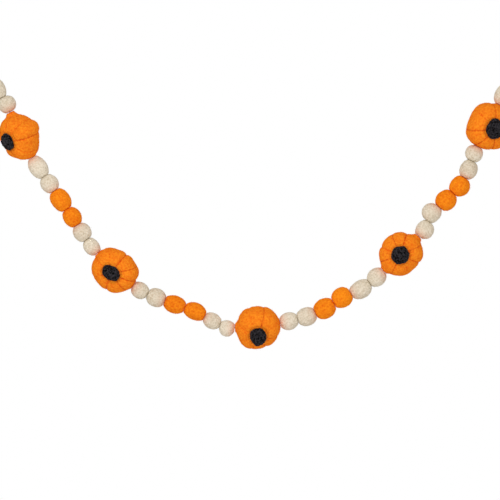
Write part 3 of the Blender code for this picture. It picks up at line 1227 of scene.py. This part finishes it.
@dataclass
class FeltStem:
    """A tapered nub of black felt on a pumpkin's crown.

    Attributes:
        pumpkin: the one that it is sewn to.
        shape: its size and turn.
        felt: its finish.
        surface: its unevenness.
        foot: radius of its foot, as a share.
        foot_height: over which the foot rounds out, as a share.
        taper: how late it narrows towards the tip.
        fullness: how blunt the tip is.
        lump_size: from one soft lump to the next.
        foot_fade: over which its nubs rise from the foot.
        sides: steps around it.
        steps: from foot to tip.
    """

    pumpkin: FeltPumpkin
    shape: StemShape
    felt: WoolFelt
    # coarse nubs with strong painted shade in their pits
    surface: FeltSurface = FeltSurface(
        lump_depth=0.12, nub_size=1.7 * MM, nub_height=0.75 * MM, grain_height=0.35 * MM, pit_shade=1.6
    )
    foot: float = 0.92
    foot_height: float = 0.1
    taper: float = 2.2
    fullness: float = 0.62
    lump_size: float = 6 * MM
    foot_fade: float = 1 * MM
    sides: int = 72
    steps: int = 36

    FOOT_RINGS = 4

    def outline(self) -> list[tuple[float, float]]:
        """(height, radius) shares from the middle of the foot to the tip.

        Returns:
            The points.
        """
        points = [(0, self.foot * ring / self.FOOT_RINGS) for ring in range(self.FOOT_RINGS)]
        for i in range(self.steps + 1):
            share = sin(pi / 2 * i / self.steps)
            width = max(1 - share**self.taper, 0) ** self.fullness
            tuck = (1 - self.foot) * max(1 - share / self.foot_height, 0) ** 2
            points.append((share, width - tuck))
        points[-1] = (1, 0)
        return points

    def build(self) -> bpy.types.Object:
        """Model the stem.

        Returns:
            The finished piece, in the row frame.
        """
        place, shape = self.pumpkin.place, self.shape
        mesh = turned(self.outline(), "Z", self.sides)
        sizes = (shape.along_mm * MM, shape.across_mm * MM, shape.height_mm * MM)
        mesh.transform(Matrix.Diagonal((*sizes, 1)))
        mesh.transform(Matrix.Rotation(radians(shape.turn_deg), 4, "Z"))
        for vert in mesh.verts:
            share = vert.co.z / (shape.height_mm * MM)
            vert.co.xy *= 1 + self.surface.lump(vert.co, self.lump_size, place.number)
            vert.co.x += shape.lean_mm * MM * share**2
        self.surface.roughen(mesh, place.number, lambda point: smooth_step(point.z / self.foot_fade))
        on_seat = Matrix.Translation((0, 0, self.pumpkin.seat_height + self.pumpkin.gap))
        mesh.transform(place.to_world @ self.pumpkin.seat.facing @ on_seat)
        piece = make_object(f"stem_{place.number}_felt", mesh, self.felt.material())
        return dress(piece, self.felt.slot, f"stem_{place.number}")


def pierce(piece: bpy.types.Object, cutter: bmesh.types.BMesh) -> None:
    """Cut a shape out of a piece, for good.

    Args:
        piece: the piece to cut.
        cutter: a closed bmesh in the row frame; it is freed.
    """
    tool = make_object("cutter", cutter, piece.data.materials[0])
    cut = piece.modifiers.new("bore", "BOOLEAN")
    cut.operation = "DIFFERENCE"
    cut.solver = "EXACT"
    cut.object = tool
    whole = piece.data
    graph = bpy.context.evaluated_depsgraph_get()
    piece.data = bpy.data.meshes.new_from_object(piece.evaluated_get(graph))
    piece.modifiers.clear()
    piece.data.name = whole.name
    bpy.data.meshes.remove(whole)
    bpy.data.meshes.remove(tool.data)


# ---------------------------------------------------------------------------------------------------
# Loose fibres
# ---------------------------------------------------------------------------------------------------


@dataclass
class LooseFibres:
    """Single wool fibres that stand off felt, joined into one piece for each colour.

    Attributes:
        felt: the finish of the felt that they stand on.
        per_area: how many there are for each square metre.
        shortest: length of the shortest fibre.
        longest: length of the longest one.
        radius: of a fibre at its root.
        tip_share: radius of its tip, as a share of its root's.
        lift: how steeply the steepest leaves the felt, as rise over run.
        least_lift: how steeply the flattest one does.
        droop: how much of its lift its tip may lose again.
        curl: how far its tip may wander sideways, as a share of its length.
        root_depth: how deep its root lies in the felt, as a share of its length.
        rings: steps along a fibre.
        seed: of the random places.
    """

    felt: WoolFelt
    per_area: float
    shortest: float = 1.0 * MM
    longest: float = 3.0 * MM
    radius: float = 0.03 * MM
    tip_share: float = 0.4
    lift: float = 0.9
    least_lift: float = 0.15
    droop: float = 0.8
    curl: float = 0.5
    root_depth: float = 0.05
    rings: int = 3
    seed: int = 7

    TONE = 0.65

    def strand(self) -> tuple[np.ndarray, list[list[int]]]:
        """One straight three-sided fibre.

        Returns:
            Its points in rows of (side, side, share of its length), and its faces.
        """
        mesh = bmesh.new()
        bmesh.ops.create_cone(
            mesh, cap_ends=True, segments=3, radius1=1, radius2=self.tip_share, depth=1,
            matrix=Matrix.Translation((0, 0, 0.5)),
        )
        for i in range(1, self.rings):
            bmesh.ops.bisect_plane(
                mesh, geom=mesh.verts[:] + mesh.edges[:] + mesh.faces[:],
                plane_co=(0, 0, i / self.rings), plane_no=(0, 0, 1),
            )
        mesh.verts.index_update()
        points = np.array([vert.co for vert in mesh.verts])
        faces = [[vert.index for vert in face.verts] for face in mesh.faces]
        mesh.free()
        return points, faces

    @staticmethod
    def surface_of(pieces: Sequence[bpy.types.Object]) -> np.ndarray:
        """All the triangles of some pieces.

        Args:
            pieces: the felt pieces.

        Returns:
            An array with the three corners of a triangle in each row.
        """
        corners = []
        for piece in pieces:
            piece.data.calc_loop_triangles()
            picks = np.zeros(len(piece.data.loop_triangles) * 3, np.int32)
            piece.data.loop_triangles.foreach_get("vertices", picks)
            corners.append(places_of(piece.data)[picks.reshape(-1, 3)])
        return np.concatenate(corners)

    def build(self, name: str, pieces: Sequence[bpy.types.Object]) -> bpy.types.Object:
        """Model the fibres.

        Args:
            name: the new piece's name.
            pieces: the felt that they stand on.

        Returns:
            The finished piece.
        """
        chance = np.random.default_rng(self.seed)
        corners = self.surface_of(pieces)
        normals = np.cross(corners[:, 1] - corners[:, 0], corners[:, 2] - corners[:, 0])
        doubled = np.linalg.norm(normals, axis=1)
        count = int(doubled.sum() / 2 * self.per_area)
        picks = chance.choice(len(corners), count, p=doubled / doubled.sum())
        shares = chance.dirichlet((1, 1, 1), count)
        roots = (corners[picks] * shares[:, :, None]).sum(axis=1)
        out = normals[picks] / doubled[picks][:, None]
        along = np.cross(out, chance.normal(size=(count, 3)))
        along /= np.linalg.norm(along, axis=1)[:, None]
        side = np.cross(out, along)

        def spread(least: float, most: float) -> np.ndarray:
            """An even spread of numbers, one for each fibre."""
            return chance.uniform(least, most, count)[:, None, None]

        length = spread(self.shortest, self.longest)
        lift = spread(self.least_lift, self.lift)
        droop = lift * spread(0, self.droop)
        curl = spread(-self.curl, self.curl)
        strand, faces = self.strand()
        run = strand[None, :, 2:3]
        places = (
            roots[:, None]
            + along[:, None] * length * run
            + out[:, None] * length * (lift * run - droop * run**2 - self.root_depth)
            + side[:, None] * (length * curl * run**2 + self.radius * strand[None, :, 0:1])
            + out[:, None] * self.radius * strand[None, :, 1:2]
        )
        data = bpy.data.meshes.new(name)
        joined = [[i + n * len(strand) for i in face] for n in range(count) for face in faces]
        data.from_pydata(places.reshape(-1, 3).tolist(), [], joined)
        piece = finished(name, data, self.felt.material())
        FeltSurface.mark(piece, FeltSurface.TONE, lambda place: self.TONE)
        return dress(piece, self.felt.slot)


# ---------------------------------------------------------------------------------------------------
# Twine
# ---------------------------------------------------------------------------------------------------


@dataclass
class Twine:
    """Plied yarn, each ply a tube that winds about the yarn's middle.

    Attributes:
        finish: its finish.
        radius: of the whole yarn.
        plies: how many there are.
        lay: length in which a ply goes once around.
        step: between the points of a ply.
        roundness: bevel resolution of a ply.
    """

    finish: SpunYarn
    radius: float
    plies: int = 3
    lay: float = 5 * MM
    step: float = 0.5 * MM
    roundness: int = 1

    def spaced(self, path: Sequence[Vector]) -> list[Vector]:
        """The same path with points evenly spaced by about the step.

        Args:
            path: points along the middle of the yarn.

        Returns:
            As many points as the step asks for.
        """
        runs = [(b - a).length for a, b in zip(path, path[1:])]
        at = np.concatenate(([0], np.cumsum(runs)))
        wanted = np.linspace(0, at[-1], max(ceil(at[-1] / self.step), 2) + 1)
        columns = [np.interp(wanted, at, [point[i] for point in path]) for i in range(3)]
        return [Vector(point) for point in zip(*columns)]

    def wind(self, curve: bpy.types.Curve, path: Sequence[Vector]) -> None:
        """Add the plies of one length of yarn to a curve.

        Args:
            curve: gets a spline for each ply.
            path: the middle of the yarn.
        """
        places = self.spaced(path)
        ply = self.ply_radius
        runs = [b - a for a, b in zip(places, places[1:])]
        runs.append(runs[-1])
        side = runs[0].orthogonal().normalized()
        winds = [[] for _ in range(self.plies)]
        for i, (place, run) in enumerate(zip(places, runs)):
            ahead = run.normalized()
            side = (side - ahead * side.dot(ahead)).normalized()
            other = ahead.cross(side)
            for k, wound in enumerate(winds):
                turn = tau * (i * self.step / self.lay + k / self.plies)
                wound.append(place + (side * cos(turn) + other * sin(turn)) * (self.radius - ply))
        for wound in winds:
            spline = curve.splines.new("POLY")
            spline.points.add(len(wound) - 1)
            for point, place in zip(spline.points, wound):
                point.co = (*place, 1)

    @property
    def ply_radius(self) -> float:
        """The radius of a ply, when the plies lie against each other."""
        share = sin(pi / self.plies)
        return self.radius * share / (1 + share)

    def along(self, name: str, paths: Iterable[Sequence[Vector]]) -> bpy.types.Object:
        """Lay the yarn along paths.

        Args:
            name: the new piece's name.
            paths: the middle of each length of yarn.

        Returns:
            All the lengths as one mesh piece at the origin.
        """
        curve = bpy.data.curves.new(name, "CURVE")
        curve.dimensions = "3D"
        curve.bevel_depth = self.ply_radius
        curve.bevel_resolution = self.roundness
        curve.use_fill_caps = True
        for path in paths:
            self.wind(curve, path)
        loose = set_out(name, curve)
        graph = bpy.context.evaluated_depsgraph_get()
        data = bpy.data.meshes.new_from_object(loose.evaluated_get(graph))
        bpy.data.objects.remove(loose)
        bpy.data.curves.remove(curve)
        data.name = name
        return finished(name, data, self.finish.material())


@dataclass
class GarlandString:
    """The twine that carries every piece, straight inside each and eased where it bends between them.

    Attributes:
        twine: what it is made of.
        pieces: what it is threaded through.
        easing: how far to each side of a bend it leaves the straight line.
        slack: how far it reaches into the knots at its ends.
        easing_steps: points along a bend.
    """

    twine: Twine
    pieces: Sequence[Strung]
    easing: float = 2.5 * MM
    slack: float = 2.0 * MM
    easing_steps: int = 6

    def path(self) -> list[Vector]:
        """The string's middle, from knot to knot.

        Returns:
            Points along it.
        """
        first, last = self.pieces[0], self.pieces[-1]
        bends = [(a.leave + b.entry) / 2 for a, b in zip(self.pieces, self.pieces[1:])]
        start = first.entry + (first.entry - first.leave).normalized() * self.slack
        end = last.leave + (last.leave - last.entry).normalized() * self.slack
        route = [start, *bends, end]
        path = [start]
        for before, bend, after in zip(route, route[1:], route[2:]):
            begin = bend + (before - bend).normalized() * self.easing
            finish = bend + (after - bend).normalized() * self.easing
            for i in range(self.easing_steps + 1):
                share = i / self.easing_steps
                path.append(begin.lerp(bend, share).lerp(bend.lerp(finish, share), share))
        return [*path, end]

    def build(self, ends: Sequence[bpy.types.Object]) -> bpy.types.Object:
        """Model the string.

        Args:
            ends: the hanging loops, which are knotted onto it; not used.

        Returns:
            The finished piece.
        """
        path = self.path()
        piece = self.twine.along("string_twine", [path])
        length = sum((b - a).length for a, b in zip(path, path[1:]))
        self.twine.spaced(path)
        log_book.info("string: %.0f mm from knot to knot", length / MM)
        return dress(piece, "cotton_twine", "string")


@dataclass
class HangingLoop:
    """A drop-shaped loop of twine and the knot that stops the outermost ball.

    Attributes:
        node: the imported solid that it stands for.
        hook: where the loop bears on its hook.
        string_end: where the string leaves the outermost ball.
        twine: what it is made of.
        length: from the middle of the knot to the loop's far end.
        width_factor: sideways reach of the loop's curve.
        knot_radius: from the knot's middle to the middle of the twine wound around it.
        knot_turns: how often the twine goes around.
        knot_pitch: from one turn to the next.
        knot_start: how near the knot's middle its twine starts, as a share of its radius.
        knot_rise: how many times as fast as the knot grows its twine gets out to the full radius.
        tail_length: of the cut end beside the knot.
        tail_spread: how far the cut end stands off.
        tail_bend: how late the cut end bends to lie along the loop.
        tail_points: steps along the cut end.
        opening: share of the loop's curve left out at each side of the knot.
        points: steps along the loop, and along the knot.
    """

    node: str
    hook: Vector
    string_end: Vector
    twine: Twine
    length: float = 36 * MM
    width_factor: float = 8 * MM
    knot_radius: float = 1.7 * MM
    knot_turns: float = 2.6
    knot_pitch: float = 1.45 * MM
    knot_start: float = 0.35
    knot_rise: float = 8
    tail_length: float = 7 * MM
    tail_spread: float = 4 * MM
    tail_bend: float = 1.5
    tail_points: int = 8
    opening: float = 0.018
    points: int = 60

    def loop(self) -> list[Vector]:
        """The loop's middle line in its own frame, with X from the knot to the hook.

        Returns:
            Points along it.
        """
        path = []
        for i in range(self.points + 1):
            turn = tau * (self.opening + (1 - 2 * self.opening) * i / self.points)
            side = self.width_factor * sin(turn) * sin(turn / 2)
            path.append(Vector((self.length * (1 - cos(turn)) / 2, 0, side)))
        return path

    def knot(self) -> list[Vector]:
        """The twine wound around the knot, whose start and end are tucked in, and its tail.

        Returns:
            Points along its middle, in the loop's own frame.
        """
        path = []
        for i in range(self.points + 1):
            share = i / self.points
            turn = tau * self.knot_turns * share
            tuck = smooth_step(self.knot_rise * share)
            out = self.knot_radius * (self.knot_start + (1 - self.knot_start) * tuck)
            along = self.knot_pitch * self.knot_turns * (share - 0.5)
            path.append(Vector((along, out * cos(turn), out * sin(turn))))
        leaves = (path[-1] - path[-2]).normalized()
        for i in range(1, self.tail_points + 1):
            share = i / self.tail_points
            bend = Vector((self.tail_length, 0, 0)) * share**self.tail_bend
            path.append(path[self.points] + leaves * self.tail_spread * share * (1 - share / 2) + bend)
        return path

    def build(self) -> bpy.types.Object:
        """Model the loop with its knot.

        Returns:
            The finished piece.
        """
        outward = (self.hook - self.string_end).normalized()
        middle = self.hook - outward * (self.length - self.twine.radius)
        place = Matrix.Translation(middle) @ Matrix.Rotation(-heading_of(outward), 4, "Y")
        paths = [[place @ point for point in line] for line in (self.loop(), self.knot())]
        piece = self.twine.along(f"{self.node}_twine", paths)
        return dress(piece, "cotton_twine", self.node)


# ---------------------------------------------------------------------------------------------------
# Studio
# ---------------------------------------------------------------------------------------------------


@dataclass
class Studio:
    """A plain pale floor, a white surround, soft light and a long lens square to the garland.

    Attributes:
        view_width: what the picture spans at the garland.
        lens: focal length in millimetres.
        aim: of the camera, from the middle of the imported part's box.
        floor_drop: of the floor under the lowest pumpkin.
        floor_radius: of the floor.
        floor_sides: steps around it.
        lights: name, place from the garland's middle, side and watts of each soft light.
        surround: brightness of the white surround as light.
    """

    view_width: float = 0.56
    lens: float = 400
    aim: Vector = field(default_factory=lambda: Vector((-1.35, 0, -63.8)) * MM)
    floor_drop: float = 0.55
    floor_radius: float = 2.2
    floor_sides: int = 96
    lights: tuple[tuple[str, tuple[float, float, float], float, float], ...] = (
        ("key", (-0.9, -2.2, 1.2), 1.3, 23),
        ("fill", (0.6, -2.3, -0.5), 1.6, 16),
    )
    surround: float = 0.6

    SENSOR = 36

    @property
    def centre(self) -> Vector:
        """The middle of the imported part's box, in the string's plane."""
        middle = (CAD_BOX[0] + CAD_BOX[1]) / 2
        return Vector((middle.x, 0, middle.z))

    def camera(self) -> None:
        """Set up the camera, which looks along +Y."""
        data = bpy.data.cameras.new("camera")
        data.lens = self.lens
        data.sensor_width = self.SENSOR
        camera = set_out("camera", data)
        camera.location = self.centre + self.aim - ACROSS * self.view_width * self.lens / self.SENSOR
        camera.rotation_euler = (pi / 2, 0, 0)
        bpy.context.scene.camera = camera

    def soft_light(self, name: str, offset: Vector, size: float, power: float) -> None:
        """Add a square soft light that faces the garland.

        Args:
            name: the light's name.
            offset: from the garland's middle.
            size: of its side.
            power: watts.
        """
        data = bpy.data.lights.new(name, "AREA")
        data.size = size
        data.energy = power
        light = set_out(name, data)
        light.location = self.centre + offset
        light.rotation_euler = (-offset).to_track_quat("-Z", "Y").to_euler()
        light.visible_camera = False

    def floor(self) -> None:
        """Lay a pale round floor that doesn't show from below."""
        made, sheet, shader = new_material("pale_floor")
        shader.inputs["Base Color"].default_value = (0.9, 0.9, 0.9, 1)
        shader.inputs["Roughness"].default_value = 0.9
        below = sheet.add("NewGeometry").outputs["Backfacing"]
        clear = sheet.add("BsdfTransparent")
        either = sheet.add("MixShader", {0: below, 1: shader.outputs[0], 2: clear.outputs[0]})
        sheet.feed(made.node_tree.nodes["Material Output"].inputs["Surface"], either.outputs[0])
        mesh = bmesh.new()
        place = Matrix.Translation((self.centre.x, 0, CAD_BOX[0].z - self.floor_drop))
        bmesh.ops.create_circle(
            mesh, cap_ends=True, segments=self.floor_sides, radius=self.floor_radius, matrix=place
        )
        make_object("floor", mesh, made)

    def surroundings(self) -> None:
        """Set a white surround, dimmer as light than as backdrop."""
        world = bpy.data.worlds.new("white_surround")
        world.use_nodes = True
        sheet = NodeSheet(world.node_tree)
        back = world.node_tree.nodes["Background"]
        seen = sheet.add("LightPath").outputs["Is Camera Ray"]
        glow = sheet.sum("MULTIPLY_ADD", seen, 1 - self.surround)
        sheet.feed(glow.node.inputs[2], self.surround)
        back.inputs["Color"].default_value = (1, 1, 1, 1)
        sheet.feed(back.inputs["Strength"], glow)
        bpy.context.scene.world = world

    def set_up(self) -> None:
        """Build the whole studio."""
        self.camera()
        self.surroundings()
        self.floor()
        for name, offset, size, power in self.lights:
            self.soft_light(name, Vector(offset), size, power)
        bpy.context.scene.view_settings.view_transform = "Standard"


# ---------------------------------------------------------------------------------------------------
# The garland
# ---------------------------------------------------------------------------------------------------

CREAM = WoolFelt("felt_cream", (236, 224, 203), (194, 178, 150))
ORANGE = WoolFelt("felt_orange", (255, 148, 28), (226, 98, 16))
PUMPKIN = WoolFelt("felt_pumpkin", (255, 147, 34), (232, 90, 18))
BLACK = WoolFelt("felt_black", (58, 55, 59), (6, 5, 5), sheen=0.15)
COTTON = SpunYarn("cotton_twine", (232, 220, 198), (170, 150, 120))
THREAD = SpunYarn("orange_thread", (220, 102, 20), (178, 72, 12), fibre_width=0.06 * MM)

CREAM_WIDTHS_MM = (
    19.5, 20.5, 20.5, 20.0, 20.5, 17.5, 18.5, 21.0, 18.0, 18.5,
    20.0, 21.0, 20.5, 20.5, 20.5, 22.0, 20.0, 20.0, 20.0, 19.5,
)
ORANGE_WIDTHS_MM = (22.0, 20.5, 20.0, 19.5, 23.0, 23.0, 23.0, 22.5)
BALL_WIDTHS_MM = {Kind.CREAM: CREAM_WIDTHS_MM, Kind.ORANGE: ORANGE_WIDTHS_MM}
BALL_FELT = {Kind.CREAM: CREAM, Kind.ORANGE: ORANGE}
TWINE_RADIUS = 0.75 * MM

TONES = {CREAM.slot: 0.6, ORANGE.slot: 0.6, PUMPKIN.slot: 0.65, BLACK.slot: 0.4}

# Loose fibres on each felt: how many to a square millimetre, and their radius.
FUZZ = (
    (CREAM, 0.25, 0.03 * MM),
    (ORANGE, 0.25, 0.03 * MM),
    (PUMPKIN, 0.2, 0.03 * MM),
    (BLACK, 0.45, 0.04 * MM),
)


@dataclass
class Garland:
    """Builds every piece of the garland and keeps them by kind.

    Attributes:
        strung: the felt pieces' places, from the left loop to the right one.
        tones: how far up its finish's range of lightness each felt lies, by slot.
        tone_spread: how far one ball may differ from the next in that.
        tinge: how much orange a cream ball takes on where it meets orange felt, from wool rubbing off and
            painted orange bounce light.
        tinge_reach: over which that fades.
        made: the felt pieces themselves, by slot.
    """

    strung: list[Strung]
    tones: dict[str, float] = field(default_factory=lambda: dict(TONES))
    tone_spread: float = 0.25
    tinge: float = 0.6
    tinge_reach: float = 4 * MM
    made: dict[str, list[bpy.types.Object]] = field(default_factory=dict)

    TONE_STEP = 3.7  # in the noise that tells the balls' tones apart, from one to the next
    TONE_ROW = 0.5

    def keep(self, felt: WoolFelt, piece: bpy.types.Object, lighter: float = 0.0) -> None:
        """Give a felt piece its tone and keep it by its finish.

        Args:
            felt: its finish.
            piece: the finished piece.
            lighter: how far its tone is above its finish's.
        """
        tone = self.tones[felt.slot] + lighter
        FeltSurface.mark(piece, FeltSurface.TONE, lambda point: tone)
        self.made.setdefault(felt.slot, []).append(piece)

    def orange_neighbours(self, at: int) -> tuple[float, float]:
        """1 where a strung piece meets orange felt and 0 where not, at its entry and its leaving end."""
        kinds = [Kind.CREAM, *(place.kind for place in self.strung), Kind.CREAM]
        return tuple(float(kind is not Kind.CREAM) for kind in (kinds[at], kinds[at + 2]))

    def ball(self, at: int) -> None:
        """Build the ball at a place on the string, tinged where it meets orange felt by wool rubbing off and
        painted orange bounce light.

        Args:
            at: its place in the order of the string.
        """
        place = self.strung[at]
        felt = BALL_FELT[place.kind]
        ball = FeltBall(place, felt, BALL_WIDTHS_MM[place.kind][place.number - 1] * MM)
        piece = ball.build()
        lighter = self.tone_spread * noise.noise(Vector((self.TONE_STEP * at, self.TONE_ROW, 0)))
        self.keep(felt, piece, lighter)
        if place.kind is not Kind.CREAM:
            return
        start, end = self.orange_neighbours(at)
        inside = place.to_world.inverted()

        def tinge_from_rub_and_bounce(point: Vector) -> float:
            """The orange tinge at a point of the ball, from wool rubbing off and painted bounce light.

            Args:
                point: in the row frame.

            Returns:
                0 where there is none.
            """
            along = (inside @ point).x
            near_end = exp(-(place.length / 2 - along) / self.tinge_reach) * end
            near_start = exp(-(place.length / 2 + along) / self.tinge_reach) * start
            return self.tinge * (near_end + near_start)

        # orange tinge near orange neighbours: wool rubbing off and painted bounce light
        FeltSurface.mark(piece, FeltSurface.RUB_AND_BOUNCE, tinge_from_rub_and_bounce)

    def pumpkin(self, at: int) -> None:
        """Build the pumpkin at a place on the string, with its stitches and stem.

        Args:
            at: its place in the order of the string.
        """
        place = self.strung[at]
        pumpkin = FeltPumpkin(place, SEATS[place.number - 1], PUMPKIN, THREAD)
        self.keep(PUMPKIN, pumpkin.body())
        pumpkin.stitches()
        self.keep(BLACK, FeltStem(pumpkin, STEMS[place.number - 1], BLACK).build())

    def string(self) -> None:
        """Build the twine, with a loop at each hook."""
        twine = Twine(COTTON, TWINE_RADIUS)
        hooks = {m["name"]: Vector(m["pos_m"]) for m in frame["record"]["mounts"]}
        ends = (
            HangingLoop("loop_left", hooks["hang_left"], self.strung[0].entry, twine),
            HangingLoop("loop_right", hooks["hang_right"], self.strung[-1].leave, twine),
        )
        GarlandString(twine, self.strung).build([end.build() for end in ends])

    def felt(self) -> None:
        """Build the balls and pumpkins, then the fibres that stand off them."""
        for at, place in enumerate(self.strung):
            if place.kind is Kind.PUMPKIN:
                self.pumpkin(at)
            else:
                self.ball(at)
        for felt, per_mm2, radius in FUZZ:
            fibres = LooseFibres(felt, per_mm2 / MM**2, radius=radius)
            fibres.build(f"fibres_{felt.slot}", self.made[felt.slot])


def main() -> None:
    """Build the studio, the twine and the felt, in that order."""
    logging.basicConfig(level=logging.INFO, format="%(message)s")
    Studio().set_up()
    garland = Garland(Stringing().read())
    garland.string()
    garland.felt()


if __name__ == "__main__":
    main()
